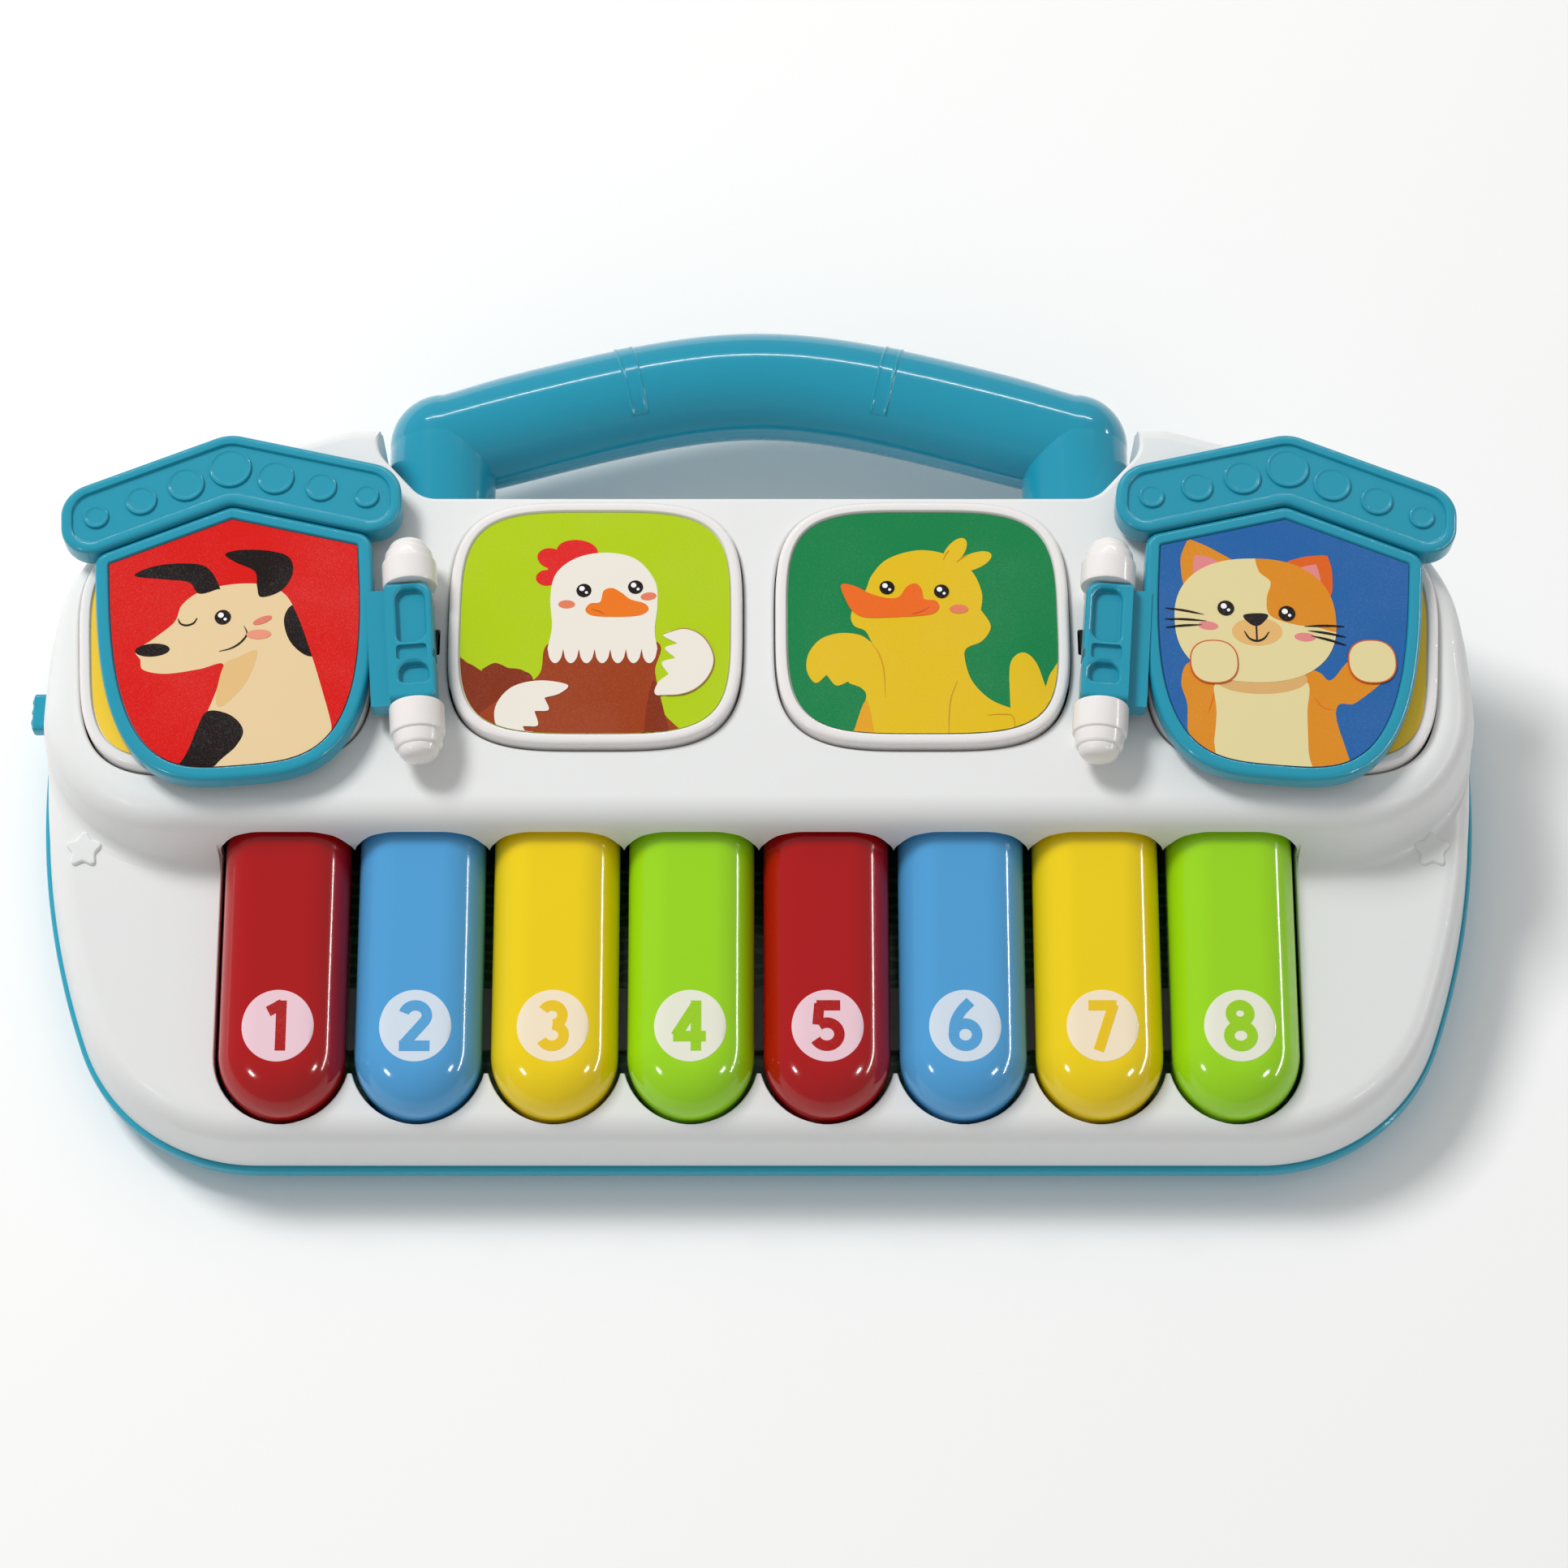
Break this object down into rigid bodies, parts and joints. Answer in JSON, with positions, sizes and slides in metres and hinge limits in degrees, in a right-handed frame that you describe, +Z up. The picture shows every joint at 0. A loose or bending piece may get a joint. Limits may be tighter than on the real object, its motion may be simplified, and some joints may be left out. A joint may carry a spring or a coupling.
{
  "type": "toy electronic keyboard",
  "caption": "Toddler's toy piano with coloured numbered keys, picture buttons, flip-over house doors and a carry handle",
  "frame": {"origin": "middle of the overall box, on the surface the toy stands on", "axes": "+X to the right of the player, +Y from the player towards the handle, +Z up"},
  "size_m": [0.3144, 0.1934, 0.0628],
  "materials": {
    "white_plastic": "satin moulded ABS",
    "teal_plastic": "glossy moulded ABS",
    "red_key": "glossy moulded ABS with a printed number disc",
    "blue_key": "glossy moulded ABS with a printed number disc",
    "yellow_key": "glossy moulded ABS with a printed number disc",
    "green_key": "glossy moulded ABS with a printed number disc",
    "printed_card": "laminated picture card",
    "foot_rubber": "matte",
    "steel": "plain",
    "cell_sleeve": "plain printed sleeve",
    "speaker_paper": "pressed paper",
    "circuit_board": "solder mask",
    "silicone_rubber": "soft moulded",
    "black_plastic": "moulded"
  },
  "bodies": {
    "body": {"base_shell": "teal_plastic", "top_shell": "white_plastic", "foot_1": "foot_rubber", "foot_2": "foot_rubber", "foot_3": "foot_rubber", "foot_4": "foot_rubber", "case_screw_1": "steel", "case_screw_2": "steel", "case_screw_3": "steel", "case_screw_4": "steel", "case_screw_5": "steel", "battery_door": "teal_plastic", "battery_door_screw": "steel", "cell_1": "cell_sleeve", "cell_2": "cell_sleeve", "cell_3": "cell_sleeve", "battery_contact_left": "steel", "battery_contact_right": "steel", "speaker_frame": "steel", "speaker_cone": "speaker_paper", "speaker_magnet": "steel", "main_board": "circuit_board", "key_pad_strip": "silicone_rubber", "button_board": "circuit_board", "button_pad_left_inner": "silicone_rubber", "button_pad_left_outer": "silicone_rubber", "button_pad_right_inner": "silicone_rubber", "button_pad_right_outer": "silicone_rubber", "key_axle": "steel", "hinge_pin_left": "steel", "hinge_pin_right": "steel", "door_switch_left": "black_plastic", "door_switch_right": "black_plastic", "handle_upper": "teal_plastic", "handle_lower": "teal_plastic", "power_switch": "black_plastic"},
    "key_1": {"key_1": "red_key"},
    "key_2": {"key_2": "blue_key"},
    "key_3": {"key_3": "yellow_key"},
    "key_4": {"key_4": "green_key"},
    "key_5": {"key_5": "red_key"},
    "key_6": {"key_6": "blue_key"},
    "key_7": {"key_7": "yellow_key"},
    "key_8": {"key_8": "green_key"},
    "button_left_inner_body": {"button_left_inner": "white_plastic", "button_card_left_inner": "printed_card"},
    "button_left_outer_body": {"button_left_outer": "white_plastic", "button_card_left_outer": "printed_card"},
    "button_right_inner_body": {"button_right_inner": "white_plastic", "button_card_right_inner": "printed_card"},
    "button_right_outer_body": {"button_right_outer": "white_plastic", "button_card_right_outer": "printed_card"},
    "door_left_body": {"door_left": "teal_plastic", "door_card_left": "printed_card", "door_back_card_left": "printed_card"},
    "door_right_body": {"door_right": "teal_plastic", "door_card_right": "printed_card", "door_back_card_right": "printed_card"},
    "power_knob_body": {"power_knob": "teal_plastic"}
  },
  "joints": [
    {"name": "key_1_press", "type": "hinge", "parent": "body", "child": "key_1", "pos_m": [-0.0994, -0.01625, 0.03], "axis": [1, 0, 0], "range_deg": [0, 3], "stiffness_Nm_per_rad": 0.6, "springref_deg": -3.44},
    {"name": "key_2_press", "type": "hinge", "parent": "body", "child": "key_2", "pos_m": [-0.071, -0.01625, 0.03], "axis": [1, 0, 0], "range_deg": [0, 3], "stiffness_Nm_per_rad": 0.6, "springref_deg": -3.44},
    {"name": "key_3_press", "type": "hinge", "parent": "body", "child": "key_3", "pos_m": [-0.0426, -0.01625, 0.03], "axis": [1, 0, 0], "range_deg": [0, 3], "stiffness_Nm_per_rad": 0.6, "springref_deg": -3.44},
    {"name": "key_4_press", "type": "hinge", "parent": "body", "child": "key_4", "pos_m": [-0.0142, -0.01625, 0.03], "axis": [1, 0, 0], "range_deg": [0, 3], "stiffness_Nm_per_rad": 0.6, "springref_deg": -3.44},
    {"name": "key_5_press", "type": "hinge", "parent": "body", "child": "key_5", "pos_m": [0.0142, -0.01625, 0.03], "axis": [1, 0, 0], "range_deg": [0, 3], "stiffness_Nm_per_rad": 0.6, "springref_deg": -3.44},
    {"name": "key_6_press", "type": "hinge", "parent": "body", "child": "key_6", "pos_m": [0.0426, -0.01625, 0.03], "axis": [1, 0, 0], "range_deg": [0, 3], "stiffness_Nm_per_rad": 0.6, "springref_deg": -3.44},
    {"name": "key_7_press", "type": "hinge", "parent": "body", "child": "key_7", "pos_m": [0.071, -0.01625, 0.03], "axis": [1, 0, 0], "range_deg": [0, 3], "stiffness_Nm_per_rad": 0.6, "springref_deg": -3.44},
    {"name": "key_8_press", "type": "hinge", "parent": "body", "child": "key_8", "pos_m": [0.0994, -0.01625, 0.03], "axis": [1, 0, 0], "range_deg": [0, 3], "stiffness_Nm_per_rad": 0.6, "springref_deg": -3.44},
    {"name": "button_left_inner_press", "type": "slide", "parent": "body", "child": "button_left_inner_body", "axis": [0, 0, -1], "range_m": [0, 0.0015], "stiffness_N_per_m": 800, "springref_m": -0.001},
    {"name": "button_left_outer_press", "type": "slide", "parent": "body", "child": "button_left_outer_body", "axis": [0, 0, -1], "range_m": [0, 0.0015], "stiffness_N_per_m": 800, "springref_m": -0.001},
    {"name": "button_right_inner_press", "type": "slide", "parent": "body", "child": "button_right_inner_body", "axis": [0, 0, -1], "range_m": [0, 0.0015], "stiffness_N_per_m": 800, "springref_m": -0.001},
    {"name": "button_right_outer_press", "type": "slide", "parent": "body", "child": "button_right_outer_body", "axis": [0, 0, -1], "range_m": [0, 0.0015], "stiffness_N_per_m": 800, "springref_m": -0.001},
    {"name": "door_left_flip", "type": "hinge", "parent": "body", "child": "door_left_body", "pos_m": [-0.0725, 0.00295, 0.057], "axis": [-0.0872, 0.9962, 0], "range_deg": [0, 180]},
    {"name": "door_right_flip", "type": "hinge", "parent": "body", "child": "door_right_body", "pos_m": [0.0725, 0.00295, 0.057], "axis": [-0.0872, -0.9962, 0], "range_deg": [0, 180]},
    {"name": "power_slide", "type": "slide", "parent": "body", "child": "power_knob_body", "axis": [0, 1, 0], "range_m": [0, 0.005]}
  ]
}
